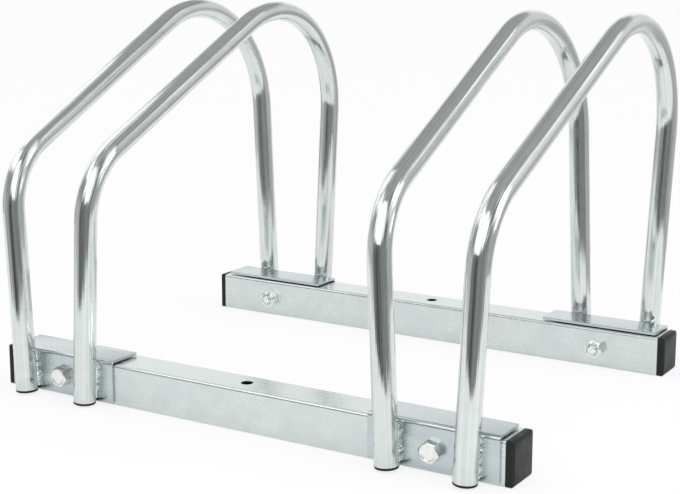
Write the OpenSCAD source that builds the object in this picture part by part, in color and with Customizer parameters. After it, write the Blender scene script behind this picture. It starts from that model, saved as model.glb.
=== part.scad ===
// Hoop bike rack for two wheels. Two square floor rails carry two pairs of bent tube
// hoops. Each hoop leg is welded to a formed angle bracket, and one bolt through each
// bracket and rail holds a pair of legs. A wheel stands in the slot between two hoops.
// Millimetres, +X along the rails, +Y to the rear, +Z up, origin on the floor at the
// middle of the rack.

/* [Rails] */
// Length of the rack over its rail caps
rack_length = 413; // [370:1:500]
// Depth from the front rail's outer face to the rear rail's outer face
rail_span = 300; // [250:1:360]
// Side of the square rail tube
rail_size = 30; // [26:0.5:38]
// Wall of the rail tube
rail_wall = 1.5; // [1:0.1:2.5]
// Outer corner radius of the rail tube
rail_corner = 2; // [1:0.1:3]
// Inner corner radius of the rail tube
rail_inner_corner = 0.6; // [0.3:0.1:1.5]
// Diameter of the floor fixing hole at the middle of each rail
fixing_hole_d = 8.5; // [5:0.1:12]

/* [Hoops] */
// Diameter of the hoop tube
tube_d = 16; // [13:0.5:19]
// Wall of the hoop tube
tube_wall = 1.2; // [0.8:0.1:2]
// Bevel round the outside of the tube's cut ends
tube_end_bevel = 0.3; // [0.1:0.05:0.5]
// Distance between the two legs of a pair at the floor, centre to centre
leg_spacing = 55; // [46:1:64]
// Angle by which each hoop leans away from its wheel slot
splay_angle = 2.6; // [0:0.1:5]
// Slope of the long run above the horizontal
run_angle = 26; // [16:1:34]
// Height of the corner of the front bend above the leg ends
front_corner_height = 166; // [130:1:200]
// Radius of the front bend at the tube's centre
front_bend_r = 55; // [40:1:75]
// Radius of the top bend at the tube's centre
top_bend_r = 90; // [65:1:110]
// Loss of radius where the tube is drawn round a bend
bend_draw = 0.03; // [0.01:0.01:0.2]
// Height of the leg ends above the floor
leg_lift = 1.5; // [0.5:0.1:6]

/* [Brackets] */
// Length of each bracket along its rail
bracket_length = 93; // [88:1:110]
// Thickness of the bracket sheet
bracket_sheet = 2; // [1.5:0.1:3]
// Depth of the top flange from the bracket's outer face
bracket_depth = 29; // [22:0.5:31]
// Inner radius of the bracket's bend
bracket_inner_r = 1; // [0.3:0.1:1.2]
// Radius of the bracket's free corners
bracket_corner = 1.5; // [0.5:0.1:4]
// Gap between the top flange and the rail's top
bracket_gap = 0.8; // [0.3:0.1:1.5]
// Height of the bracket's lower edge above the floor
bracket_foot = 1.5; // [1:0.1:4]
// Distance from the rail's cut end to the bracket's end
bracket_inset = 3; // [1:0.5:12]

/* [Bolts and nuts] */
// Diameter of the bolt shank
bolt_d = 8; // [6:0.5:9]
// Gap all round the shank in its holes
bolt_gap = 0.3; // [0.2:0.05:0.6]
// Size across the flats of the heads and nuts
spanner_size = 13; // [12:0.5:15]
// Height of the bolt head
head_height = 5.3; // [4:0.1:7]
// Gap all round the thread in the nut and in its nylon ring
thread_gap = 0.1; // [0.05:0.05:0.2]
// Height of the lock nut with its collar
nut_height = 8; // [7.5:0.1:12]
// Height of the hexagon of the lock nut
nut_hex_height = 6.4; // [5:0.1:6.8]
// Diameter of the lock nut's collar
nut_collar_d = 11.6; // [11:0.1:11.9]
// Wall of the collar round the nylon ring
nut_collar_wall = 0.8; // [0.5:0.1:1]
// Radius of the collar's rolled rim
nut_rim_r = 0.9; // [0.5:0.1:1.1]
// Height of the lip that is rolled over the nylon ring
nut_lip_height = 0.5; // [0.3:0.1:0.8]
// Diameter of the opening inside that lip
nut_lip_d = 9.4; // [9.2:0.1:9.6]
// Height of the nylon ring in the lock nut
ring_height = 2; // [1.2:0.1:2.6]
// Gap between the nylon ring and its recess
ring_gap = 0.05; // [0.02:0.01:0.1]
// Length of the bolt end that stands out of the nut
bolt_end = 0.8; // [0.3:0.1:6]

/* [Caps and plugs] */
// Thickness of a rail cap outside the rail
cap_thickness = 5.5; // [3:0.1:8]
// Depth of the bevel round a rail cap's outer face
cap_bevel_depth = 1.4; // [0.5:0.1:2]
// Width of the bevel round a rail cap's outer face
cap_bevel_width = 2.2; // [1:0.1:4]
// Length of a rail cap's insert inside the rail
cap_insert_length = 16; // [12:0.5:24]
// Wall of a rail cap's insert
cap_insert_wall = 1.4; // [1:0.1:2]
// Height of the fins round a rail cap's insert
cap_fin_height = 0.9; // [0.5:0.1:1.5]
// Thickness of the fins round a rail cap's insert
cap_fin_thickness = 1.2; // [0.8:0.1:2]
// Thickness of a leg plug's rim below the tube
plug_rim = 1.5; // [1.3:0.1:3]
// Radius of the rounded lower edge of a leg plug
plug_round = 0.6; // [0.3:0.1:0.6]
// Length of a leg plug's stem inside the tube
plug_stem_length = 12; // [9:0.5:18]
// Wall of a leg plug's stem
plug_stem_wall = 1.4; // [1:0.1:2]
// Height of the rings round a leg plug's stem
plug_ring_height = 0.6; // [0.3:0.1:1]
// Gap between a cap or plug and the tube that it is pushed into
push_gap = 0.1; // [0.05:0.05:0.3]

/* [Welds] */
// Radius of one lump of a weld bead
bead_r = 2.3; // [1.8:0.1:2.8]
// Distance from one lump of a weld bead to the next
bead_pitch = 2.9; // [2:0.1:3]
// Distance from the flange's face to the centre of a lump
bead_stand = 1; // [0.5:0.1:1.5]
// Distance from the tube's surface to the centre of a lump
bead_proud = 0.6; // [0.3:0.1:1.2]

/* [Hidden] */
$fn = 96;

// Names of the two ends and the two sides of the rack
FRONT = -1;
REAR = 1;
LEFT = -1;
RIGHT = 1;
// Names of the two hoops of a pair
INNER = -1;
OUTER = 1;

// Length by which a cutting shape passes the surface that it cuts
cut_over = 1;
// Length by which a straight stretch of tube runs on inside a bend
seam_lap = 0.5;
// Height of the bevel round a bolt head or nut as a share of the spanner size
hex_bevel_share = 0.06;
// Length of the bevel at the bolt's end as a share of its diameter
end_bevel_share = 0.12;
// Angles at which the spanner left the front left, front right, rear left, rear right bolt
hex_turns = [6, 10, 27, 46];
// Number of fins along a rail cap's insert and of rings along a leg plug's stem
cap_fins = 3;
plug_rings = 3;
// How far the lumps of a weld bead swell and shrink
bead_swell_share = 0.14;
// Angle by which that swelling advances from lump to lump
bead_swell_step = 137;

rail_length = rack_length - 2 * cap_thickness;
slot_offset = rail_length / 2 - bracket_inset - bracket_length / 2;
leg_y = rail_span / 2 + bracket_sheet + tube_d / 2;
bolt_height = rail_size / 2;
bolt_hole_r = bolt_d / 2 + bolt_gap;
bolt_length = bracket_sheet + rail_size + nut_height + bolt_end;
flange_under = rail_size + bracket_gap;
flange_top = flange_under + bracket_sheet;
bracket_bend_r = bracket_inner_r + bracket_sheet;
bend_start = flange_top - bracket_bend_r;
ring_seat = nut_height - nut_lip_height - ring_height;
rail_bore = rail_size - 2 * rail_wall;
tube_bore_r = tube_d / 2 - tube_wall;

// The hoop's run, from its front leg over both bends to its rear leg
front_turn = 90 - run_angle;
top_turn = 90 + run_angle;
front_tangent = front_bend_r * tan(front_turn / 2);
top_tangent = top_bend_r * tan(top_turn / 2);
rear_corner_height = front_corner_height + 2 * leg_y * tan(run_angle);
front_leg_length = front_corner_height - plug_rim - front_tangent;
run_length = 2 * leg_y / cos(run_angle) - front_tangent - top_tangent;
rear_leg_length = rear_corner_height - plug_rim - top_tangent;

// Places

// Puts a shape at one end of the rack. Its local y runs from the rail's outer face inwards.
module at_end(end) {
    if (end == FRONT) {
        translate([0, -rail_span / 2, 0])
            children();
    } else {
        translate([0, rail_span / 2, 0])
            mirror([0, 1, 0])
                children();
    }
}

// Puts a shape at the middle of one bracket, on the outer face of its rail
module at_bracket(end, side) {
    at_end(end)
        translate([side * slot_offset, 0, 0])
            children();
}

// Puts a shape at the foot of one hoop, with local z along its leaning legs
module at_hoop(side, place) {
    translate([side * (slot_offset + place * leg_spacing / 2), 0, leg_lift])
        rotate([0, side * place * splay_angle, 0])
            children();
}

// Puts a shape at the lower end of one leg, with local z up into the tube
module at_leg(side, place, end) {
    at_hoop(side, place)
        translate([0, end * leg_y, 0])
            children();
}

// Turns a drawing in x and y so that it stands in y and z and is extruded along x
module along_x() {
    rotate([90, 0, 90])
        children();
}

// Turns a shape along z so that it runs along y
module along_y() {
    rotate([-90, 0, 0])
        children();
}

// Shared outlines

// Square with rounded corners, centred
module round_square(size, corner) {
    flat = size - 2 * corner;
    square([size, flat], center = true);
    square([flat, size], center = true);
    for (x = [-1, 1], y = [-1, 1])
        translate([x * flat / 2, y * flat / 2])
            circle(r = corner);
}

// Hexagonal prism with one round bevelled end, on the floor with the bevel up
module hex_block(height) {
    corner_r = spanner_size / sqrt(3);
    flat_r = spanner_size / 2;
    bevel = spanner_size * hex_bevel_share;
    intersection() {
        cylinder(h = height, r = corner_r, $fn = 6);
        rotate_extrude()
            polygon([
                [0, 0],
                [corner_r, 0],
                [corner_r, height - bevel],
                [flat_r - bevel, height],
                [0, height]
            ]);
    }
}

// Rails

// Square tube with the through holes of its two bolts and of the floor fixing
module rail() {
    difference() {
        translate([-rail_length / 2, rail_size / 2, rail_size / 2])
            along_x()
                linear_extrude(rail_length)
                    difference() {
                        round_square(rail_size, rail_corner);
                        round_square(rail_bore, rail_inner_corner);
                    }
        for (side = [LEFT, RIGHT])
            translate([side * slot_offset, -cut_over, bolt_height])
                along_y()
                    cylinder(h = rail_size + 2 * cut_over, r = bolt_hole_r);
        translate([0, rail_size / 2, -cut_over])
            cylinder(h = rail_size + 2 * cut_over, d = fixing_hole_d);
    }
}

// Side view of the cap's plate: x is the distance from the rail's end, y goes across it
module cap_side() {
    half = rail_size / 2;
    face_half = half - cap_bevel_width;
    polygon([
        [0, -half],
        [cap_thickness - cap_bevel_depth, -half],
        [cap_thickness, -face_half],
        [cap_thickness, face_half],
        [cap_thickness - cap_bevel_depth, half],
        [0, half]
    ]);
}

// Bevelled plate of a rail cap, standing on the rail's cut end
module cap_plate() {
    intersection() {
        along_x()
            linear_extrude(cap_thickness)
                round_square(rail_size, rail_corner);
        translate([0, 0, -rail_size / 2])
            linear_extrude(rail_size)
                cap_side();
        translate([0, rail_size / 2, 0])
            rotate([90, 0, 0])
                linear_extrude(rail_size)
                    cap_side();
    }
}

// Hollow insert of a rail cap with fins that grip the rail's bore
module cap_insert() {
    fin_size = rail_bore - 2 * push_gap;
    core_size = fin_size - 2 * cap_fin_height;
    fin_step = cap_insert_length / (cap_fins + 1);
    along_x()
        difference() {
            union() {
                linear_extrude(cap_insert_length)
                    round_square(core_size, rail_inner_corner);
                for (i = [1:cap_fins])
                    translate([0, 0, i * fin_step - cap_fin_thickness / 2])
                        linear_extrude(cap_fin_thickness)
                            round_square(fin_size, rail_inner_corner);
            }
            translate([0, 0, -cut_over])
                linear_extrude(cap_insert_length + cut_over)
                    square(core_size - 2 * cap_insert_wall, center = true);
        }
}

// Black cap pushed into a rail's end. It faces +x, with its origin at the rail's cut end.
module rail_cap() {
    cap_plate();
    translate([-cap_insert_length, 0, 0])
        cap_insert();
}

// Puts a rail cap into the rail's end on one side
module placed_cap(end, side) {
    color("#1c1d1d")
        at_end(end)
            translate([side * rail_length / 2, rail_size / 2, rail_size / 2])
                rotate([0, 0, side == RIGHT ? 0 : 180])
                    rail_cap();
}

// Brackets

// Cross-section of the formed angle: x is the depth over the rail, y the height
module bracket_section() {
    translate([-bracket_sheet, bracket_foot])
        square([bracket_sheet, bend_start - bracket_foot]);
    translate([bracket_inner_r, flange_under])
        square([bracket_depth - bracket_bend_r, bracket_sheet]);
    translate([bracket_inner_r, bend_start])
        intersection() {
            difference() {
                circle(r = bracket_bend_r);
                circle(r = bracket_inner_r);
            }
            translate([-bracket_bend_r, 0])
                square(bracket_bend_r);
        }
}

// Cuts one square corner of a sheet edge to its round, for a corner at the origin
module corner_cut() {
    linear_extrude(bracket_sheet + 2 * cut_over)
        difference() {
            translate([-cut_over, -cut_over])
                square(bracket_corner + cut_over);
            translate([bracket_corner, bracket_corner])
                circle(r = bracket_corner);
        }
}

// Formed angle bracket: one flange on the rail's outer face, one over its top
module bracket() {
    half = bracket_length / 2;
    difference() {
        translate([-half, 0, 0])
            along_x()
                linear_extrude(bracket_length)
                    bracket_section();
        translate([0, -bracket_sheet - cut_over, bolt_height])
            along_y()
                cylinder(h = bracket_sheet + 2 * cut_over, r = bolt_hole_r);
        for (turned = [0, 1])
            mirror([turned, 0, 0]) {
                translate([-half, cut_over, bracket_foot])
                    rotate([90, 0, 0])
                        corner_cut();
                translate([-half, bracket_depth - bracket_sheet, flange_under - cut_over])
                    rotate([0, 0, -90])
                        corner_cut();
            }
    }
}

// Puts a bracket on its rail
module placed_bracket(end, side) {
    color("#aeb8bc")
        at_bracket(end, side)
            bracket();
}

// Hoops

// Straight stretch of round bar along z, with what follows at its far end. It is
// lengthened by near at its start and by far at its end.
module straight(length, r, near, far) {
    translate([0, 0, -near])
        cylinder(h = near + length + far, r = r);
    translate([0, 0, length])
        children();
}

// Bend of a round bar from z towards y, with what follows at its far end
module bend(turn, bend_r, r) {
    translate([0, bend_r, 0]) {
        rotate([90, 0, 0])
            rotate([0, -90, 0])
                rotate_extrude(angle = turn)
                    translate([bend_r, 0])
                        circle(r = r - bend_draw);
        rotate([-turn, 0, 0])
            translate([0, -bend_r, 0])
                children();
    }
}

// The whole bent bar, lengthened at both ends by over
module bent_bar(r, over) {
    translate([0, -leg_y, plug_rim])
        straight(front_leg_length, r, over, seam_lap)
            bend(front_turn, front_bend_r, r)
                straight(run_length, r, seam_lap, seam_lap)
                    bend(top_turn, top_bend_r, r)
                        straight(rear_leg_length, r, seam_lap, over);
}

// Cuts the bevel round a tube end whose cut face is at zero, with the tube above it
module end_bevel_cut() {
    rim_r = tube_d / 2;
    rotate_extrude()
        polygon([
            [rim_r - tube_end_bevel - cut_over, -cut_over],
            [rim_r + cut_over, -cut_over],
            [rim_r + cut_over, tube_end_bevel + cut_over]
        ]);
}

// Hoop bent from one length of round tube
module hoop() {
    difference() {
        bent_bar(tube_d / 2, 0);
        bent_bar(tube_bore_r, cut_over);
        for (end = [FRONT, REAR])
            translate([0, end * leg_y, plug_rim])
                end_bevel_cut();
    }
}

// Puts a hoop at its side of a wheel slot
module placed_hoop(side, place) {
    color("#c9cfcf")
        at_hoop(side, place)
            hoop();
}

// Half of a leg plug's section: rim below the tube, hollow ringed stem inside it
module plug_section() {
    rim_r = tube_d / 2;
    ring_r = tube_bore_r - push_gap;
    stem_r = ring_r - plug_ring_height;
    ring_step = plug_stem_length / (plug_rings + 1);
    ring_width = ring_step / 2;
    difference() {
        union() {
            square([rim_r - plug_round, plug_rim]);
            translate([0, plug_round])
                square([rim_r, plug_rim - plug_round]);
            translate([rim_r - plug_round, plug_round])
                circle(r = plug_round);
            square([stem_r, plug_rim + plug_stem_length]);
            for (i = [1:plug_rings])
                translate([0, plug_rim + i * ring_step - ring_width / 2])
                    square([ring_r, ring_width]);
        }
        translate([0, plug_rim])
            square([stem_r - plug_stem_wall, plug_stem_length + cut_over]);
    }
}

// Puts a black plug into the lower end of a leg
module placed_plug(side, place, end) {
    color("#1c1d1d")
        at_leg(side, place, end)
            rotate_extrude()
                plug_section();
}

// Bolts and nuts

// Angle at which the spanner left the bolt of one bracket
function hex_turn(end, side) = hex_turns[(end == REAR ? 2 : 0) + (side == RIGHT ? 1 : 0)];

// Hexagon bolt along z: its head's bearing face is at zero and its shank points up
module hex_bolt(turn) {
    bevel = bolt_d * end_bevel_share;
    mirror([0, 0, 1])
        rotate([0, 0, turn])
            hex_block(head_height);
    rotate_extrude()
        polygon([
            [0, 0],
            [bolt_d / 2, 0],
            [bolt_d / 2, bolt_length - bevel],
            [bolt_d / 2 - bevel, bolt_length],
            [0, bolt_length]
        ]);
}

// Lock nut along z: its bearing face is at zero and its collar points up
module lock_nut(turn) {
    collar_r = nut_collar_d / 2;
    difference() {
        union() {
            rotate([0, 0, turn])
                hex_block(nut_hex_height);
            cylinder(h = nut_height - nut_rim_r, r = collar_r);
            cylinder(h = nut_height, r = collar_r - nut_rim_r);
            rotate_extrude()
                translate([collar_r - nut_rim_r, nut_height - nut_rim_r])
                    circle(r = nut_rim_r);
        }
        translate([0, 0, -cut_over])
            cylinder(h = nut_height + 2 * cut_over, r = bolt_d / 2 + thread_gap);
        translate([0, 0, ring_seat])
            cylinder(h = ring_height, r = collar_r - nut_collar_wall);
        translate([0, 0, ring_seat])
            cylinder(h = nut_height - ring_seat + cut_over, d = nut_lip_d);
    }
}

// Nylon ring that grips the thread inside the collar of a lock nut
module nylon_ring() {
    height = ring_height - ring_gap;
    translate([0, 0, ring_seat])
        difference() {
            cylinder(h = height, r = nut_collar_d / 2 - nut_collar_wall - ring_gap);
            translate([0, 0, -cut_over])
                cylinder(h = height + 2 * cut_over, r = bolt_d / 2 + thread_gap);
        }
}

// Puts a bolt through its bracket and rail, from the outside inwards
module placed_bolt(end, side) {
    color("#d5d8d4")
        at_bracket(end, side)
            translate([0, -bracket_sheet, bolt_height])
                along_y()
                    hex_bolt(hex_turn(end, side));
}

// Puts a shape that points up on the rail's inner face, round the bolt
module at_nut(end, side) {
    at_bracket(end, side)
        translate([0, rail_size, bolt_height])
            along_y()
                children();
}

// Puts a nut on the rail's inner face
module placed_nut(end, side) {
    color("#d5d8d4")
        at_nut(end, side)
            lock_nut(hex_turn(end, side));
}

// Puts a nylon ring into its nut
module placed_ring(end, side) {
    color("#dfe3e2")
        at_nut(end, side)
            nylon_ring();
}

// Welds

// Radius of one lump of a bead
function lump_r(i) = bead_r * (1 + bead_swell_share * sin(i * bead_swell_step));

// Distance of a bead's middle from the leg's centre line, along the flange
bead_reach = sqrt(pow(tube_d / 2 + bead_proud, 2) - pow(tube_d / 2 - bead_stand, 2));

// One weld bead beside a leg: a chain of lumps from the tube's end up to the bracket's
// bend, cut to the flange's face and to the tube
module weld_bead(hand) {
    lowest = max(bracket_foot - leg_lift, plug_rim) + bead_r;
    highest = bend_start - leg_lift - bead_r / 2;
    lumps = ceil((highest - lowest) / bead_pitch);
    step = (highest - lowest) / lumps;
    difference() {
        for (i = [0:lumps])
            translate([
                hand * bead_reach,
                tube_d / 2 - bead_stand,
                lowest + i * step
            ])
                sphere(r = lump_r(i + hand));
        translate([-tube_d, tube_d / 2, 0])
            cube([2 * tube_d, tube_d, flange_top]);
        cylinder(h = flange_top, r = tube_d / 2);
    }
}

// The four beads that hold a pair of legs to one bracket
module placed_welds(end, side) {
    color("#b9bfbf")
        for (place = [INNER, OUTER], hand = [-1, 1])
            at_leg(side, place, end)
                mirror([0, end == REAR ? 1 : 0, 0])
                    weld_bead(hand);
}

// One module per node

module rail_front() {
    color("#c3cbca")
        at_end(FRONT)
            rail();
}

module rail_rear() {
    color("#c3cbca")
        at_end(REAR)
            rail();
}

module rail_cap_front_left() { placed_cap(FRONT, LEFT); }
module rail_cap_front_right() { placed_cap(FRONT, RIGHT); }
module rail_cap_rear_left() { placed_cap(REAR, LEFT); }
module rail_cap_rear_right() { placed_cap(REAR, RIGHT); }

module bracket_front_left() { placed_bracket(FRONT, LEFT); }
module bracket_front_right() { placed_bracket(FRONT, RIGHT); }
module bracket_rear_left() { placed_bracket(REAR, LEFT); }
module bracket_rear_right() { placed_bracket(REAR, RIGHT); }

module hoop_left_outer() { placed_hoop(LEFT, OUTER); }
module hoop_left_inner() { placed_hoop(LEFT, INNER); }
module hoop_right_inner() { placed_hoop(RIGHT, INNER); }
module hoop_right_outer() { placed_hoop(RIGHT, OUTER); }

module plug_left_outer_front() { placed_plug(LEFT, OUTER, FRONT); }
module plug_left_outer_rear() { placed_plug(LEFT, OUTER, REAR); }
module plug_left_inner_front() { placed_plug(LEFT, INNER, FRONT); }
module plug_left_inner_rear() { placed_plug(LEFT, INNER, REAR); }
module plug_right_inner_front() { placed_plug(RIGHT, INNER, FRONT); }
module plug_right_inner_rear() { placed_plug(RIGHT, INNER, REAR); }
module plug_right_outer_front() { placed_plug(RIGHT, OUTER, FRONT); }
module plug_right_outer_rear() { placed_plug(RIGHT, OUTER, REAR); }

module bolt_front_left() { placed_bolt(FRONT, LEFT); }
module bolt_front_right() { placed_bolt(FRONT, RIGHT); }
module bolt_rear_left() { placed_bolt(REAR, LEFT); }
module bolt_rear_right() { placed_bolt(REAR, RIGHT); }

module nut_front_left() { placed_nut(FRONT, LEFT); }
module nut_front_right() { placed_nut(FRONT, RIGHT); }
module nut_rear_left() { placed_nut(REAR, LEFT); }
module nut_rear_right() { placed_nut(REAR, RIGHT); }

module nylon_ring_front_left() { placed_ring(FRONT, LEFT); }
module nylon_ring_front_right() { placed_ring(FRONT, RIGHT); }
module nylon_ring_rear_left() { placed_ring(REAR, LEFT); }
module nylon_ring_rear_right() { placed_ring(REAR, RIGHT); }

module weld_front_left() { placed_welds(FRONT, LEFT); }
module weld_front_right() { placed_welds(FRONT, RIGHT); }
module weld_rear_left() { placed_welds(REAR, LEFT); }
module weld_rear_right() { placed_welds(REAR, RIGHT); }

rail_front();
rail_rear();
rail_cap_front_left();
rail_cap_front_right();
rail_cap_rear_left();
rail_cap_rear_right();
bracket_front_left();
bracket_front_right();
bracket_rear_left();
bracket_rear_right();
hoop_left_outer();
hoop_left_inner();
hoop_right_inner();
hoop_right_outer();
plug_left_outer_front();
plug_left_outer_rear();
plug_left_inner_front();
plug_left_inner_rear();
plug_right_inner_front();
plug_right_inner_rear();
plug_right_outer_front();
plug_right_outer_rear();
bolt_front_left();
bolt_front_right();
bolt_rear_left();
bolt_rear_right();
nut_front_left();
nut_front_right();
nut_rear_left();
nut_rear_right();
nylon_ring_front_left();
nylon_ring_front_right();
nylon_ring_rear_left();
nylon_ring_rear_right();
weld_front_left();
weld_front_right();
weld_rear_left();
weld_rear_right();
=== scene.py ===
"""Zinc-plated hoop bike rack: its finishes, its finely shaped pieces, the studio and the camera.

Everything is in metres in the rack's own frame: +X along the rails, +Y from the low front
bends of the hoops towards their high rear bends, +Z up, with the floor at zero.
"""
import math
import random
from itertools import product

import bmesh
import bpy
from mathutils import Matrix, Vector, noise


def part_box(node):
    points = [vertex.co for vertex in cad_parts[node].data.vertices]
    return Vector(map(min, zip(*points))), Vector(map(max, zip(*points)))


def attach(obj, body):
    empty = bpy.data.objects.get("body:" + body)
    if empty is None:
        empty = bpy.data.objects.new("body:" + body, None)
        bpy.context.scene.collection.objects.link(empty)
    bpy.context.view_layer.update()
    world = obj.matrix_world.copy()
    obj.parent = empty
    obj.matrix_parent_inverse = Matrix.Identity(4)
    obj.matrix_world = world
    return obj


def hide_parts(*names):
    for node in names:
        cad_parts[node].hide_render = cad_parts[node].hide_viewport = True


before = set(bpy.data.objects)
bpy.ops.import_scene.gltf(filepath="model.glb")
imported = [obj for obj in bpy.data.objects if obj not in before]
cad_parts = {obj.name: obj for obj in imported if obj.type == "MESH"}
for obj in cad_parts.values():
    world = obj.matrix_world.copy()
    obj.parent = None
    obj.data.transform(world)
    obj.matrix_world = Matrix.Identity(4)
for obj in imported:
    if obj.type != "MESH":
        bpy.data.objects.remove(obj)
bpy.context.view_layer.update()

bl_info = {
    "name": "Hoop bike rack",
    "version": (1, 0, 0),
    "blender": (4, 5, 0),
    "location": "3D View > Sidebar > Bike rack",
    "description": "Finishes, fine pieces, studio and camera of a zinc-plated hoop bike rack",
    "category": "Add Mesh",
}

BODY = "root"
SIDES = {"left": -1, "right": 1}
ENDS = {"front": -1, "rear": 1}
PLACES = {"inner": -1, "outer": 1}
HANDS = (-1, 1)
TURN = 2 * math.pi
WHITE = (1, 1, 1, 1)


# Sizes and colours that a user can change

def number(name, text, value, **limits):
    """A number that a user can change."""
    return bpy.props.FloatProperty(name=name, description=text, default=value, **limits)


def length(name, text, value):
    """A size in metres."""
    return number(name, text, value, min=0.0, unit="LENGTH", precision=5)


def angle(name, text, degrees):
    """An angle, written in degrees."""
    return number(name, text, math.radians(degrees), subtype="ANGLE")


def share(name, text, value):
    """A share of another size, from nought to one."""
    return number(name, text, value, min=0.0, max=1.0)


def colour(name, text, value):
    """A colour."""
    return bpy.props.FloatVectorProperty(name=name, description=text, default=value, size=3,
                                         subtype="COLOR", min=0.0, max=1.0)


class RackHoopSizes(bpy.types.PropertyGroup):
    """Sizes of the bent hoops"""
    tube_d: length("Tube diameter", "Outer diameter of the hoop tube", 0.016)
    tube_wall: length("Tube wall", "Wall of the hoop tube", 0.0012)
    leg_spacing: length("Leg spacing", "Distance between the two legs of a pair", 0.055)
    splay: angle("Splay", "Angle by which each hoop leans away from its wheel slot", 2.6)
    run_angle: angle("Run angle", "Slope of the long run above the horizontal", 26)
    corner_height: length("Corner height", "Height of the front bend's corner", 0.166)
    front_bend_r: length("Front bend", "Radius of the front bend at the centre line", 0.055)
    top_bend_r: length("Top bend", "Radius of the top bend at the centre line", 0.090)
    leg_lift: length("Leg lift", "Height of the leg ends above the floor", 0.0015)
    plug_rim: length("Plug rim", "Thickness of the plug's rim below the tube", 0.0015)
    end_bevel: length("End bevel", "Bevel at the tube's cut ends", 0.0003)
    ring_step: length("Ring step", "Distance between the rings of the mesh", 0.003)
    flatten: share("Flattening", "Share by which a bend flattens the tube", 0.025)


class RackEdgeSizes(bpy.types.PropertyGroup):
    """Rounds on the edges of the brackets and caps"""
    sheet_round: length("Sheet edge", "Round on the edges of a formed bracket", 0.0005)
    cap_round: length("Cap edge", "Round on the edges of a rail cap", 0.0005)


class RackFastenerSizes(bpy.types.PropertyGroup):
    """Sizes of the bolts and nuts"""
    bolt_d: length("Bolt diameter", "Outer diameter of the thread", 0.008)
    thread_pitch: length("Thread pitch", "Distance from one turn to the next", 0.00125)
    thread_depth: length("Thread depth", "Depth of the thread's groove", 0.0006)
    thread_length: length("Thread length", "Length of the thread from the bolt's end", 0.016)
    spanner: length("Spanner size", "Size across the flats", 0.013)
    head_height: length("Head height", "Height of the bolt head", 0.0053)
    head_dish: length("Head dish", "Depth of the dish in the head's face", 0.00025)
    bevel_w: length("Bevel width", "Width of the bevel under the bolt head", 0.0002)
    bevel_h: length("Bevel height", "Height of the bevel under the bolt head", 0.0003)
    nut_hex: length("Hexagon height", "Height of the nut's hexagon", 0.0064)
    nut_height: length("Nut height", "Height of the nut with its collar", 0.008)
    collar_d: length("Collar diameter", "Diameter of the nut's collar", 0.0116)
    collar_wall: length("Collar wall", "Wall of the collar round the nylon ring", 0.0008)
    collar_rim: length("Collar rim", "Radius of the collar's rolled rim", 0.0009)
    collar_fillet: length("Collar fillet", "Fillet round the collar's foot", 0.0002)
    lip_height: length("Lip height", "Height of the lip over the nylon ring", 0.0005)
    lip_d: length("Lip opening", "Diameter of the opening inside the lip", 0.0094)
    lip_fall: length("Lip fall", "Fall of the lip towards its opening", 0.00012)
    ring_height: length("Ring height", "Height of the nylon ring", 0.002)
    ring_gap: length("Ring gap", "Gap between the nylon ring and its recess", 0.00005)
    ring_round: length("Ring round", "Round on the nylon ring's upper side", 0.0002)
    drawn_edge: length("Drawn edge", "Depth to which the thread draws down the nylon", 0.0011)
    thread_gap: length("Thread gap", "Gap between the thread and the nut's bore", 0.0001)
    bolt_end: length("Bolt end", "Length of bolt that stands out of the nut", 0.0008)
    chamfer: angle("Chamfer", "Slope of the chamfer round a hexagon", 30)
    top_share: share("Top circle", "Chamfer circle as a share of the spanner size", 0.93)


class RackWeldSizes(bpy.types.PropertyGroup):
    """Sizes of the weld beads"""
    bead_r: length("Bead radius", "Radius that the lumps of a bead are shares of", 0.0024)
    pitch: length("Bead pitch", "Distance that the steps of a bead are shares of", 0.0042)
    stand: length("Bead stand", "Distance from the bracket's face to a lump's centre", 0.0009)
    proud: length("Bead proud", "Distance from the tube to a lump's centre", 0.0006)
    grain: length("Bead grain", "Size of the mesh cells of a bead", 0.00035)
    roughen: length("Bead roughness", "Height of the ripples on a bead", 0.00035)


class RackFinishes(bpy.types.PropertyGroup):
    """Colours of the rack's finishes"""
    rail: colour("Rails", "Zinc on the square rails", (0.68, 0.745, 0.735))
    bracket: colour("Brackets", "Zinc on the formed brackets", (0.565, 0.63, 0.65))
    hoop: colour("Hoops", "Zinc on the bent tube", (0.73, 0.785, 0.775))
    warm: colour("Warm zinc", "Warmer patches of the plating", (0.76, 0.73, 0.60))
    fastener: colour("Fasteners", "Zinc on the bolts and nuts", (0.86, 0.885, 0.86))
    weld: colour("Welds", "Weld metal under the plating", (0.95, 0.97, 0.96))
    plastic: colour("Plastic", "Black caps and plugs", (0.008, 0.0105, 0.0095))
    # The nylon colour is partly painted shade: it is darkened to stand in for the shade in the
    # nut's recess.
    nylon: colour("Nylon", "Ring inside each lock nut", (0.10, 0.11, 0.11))


class RackStudioSizes(bpy.types.PropertyGroup):
    """Sizes of the studio and the camera's place"""
    camera_place: bpy.props.FloatVectorProperty(
        name="Camera", description="Where the camera stands", size=3, unit="LENGTH",
        default=(0.5602, -0.9341, 0.3347))
    camera_turn: angle("Camera turn", "Direction of view, from +Y towards +X", -31.306)
    camera_tilt: angle("Camera tilt", "Downward tilt of the view", 10.924)
    camera_roll: angle("Camera roll", "Roll of the camera", 0.054)
    lens_mm: number("Lens", "Focal length in millimetres", 78.593)
    shift_y: number("Shift", "Vertical shift of the lens", -0.04706)
    floor_r: length("Floor radius", "Radius of the pale floor", 12.0)
    softbox_w: length("Softbox width", "Width of the softbox above the camera", 0.55)
    softbox_h: length("Softbox height", "Height of the softbox above the camera", 0.45)
    softbox_power: number("Softbox power", "Power of the softbox in watts", 4.0)
    side_w: length("Side lamp width", "Width of the side lamp", 0.3)
    side_h: length("Side lamp height", "Height of the side lamp", 0.7)
    side_power: number("Side power", "Power of the side lamp in watts", 2.0)
    room_light: number("Room light", "Strength of the room's plain light", 0.95)


# Node helpers

def link(tree, out, into):
    tree.links.new(out, into)


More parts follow.
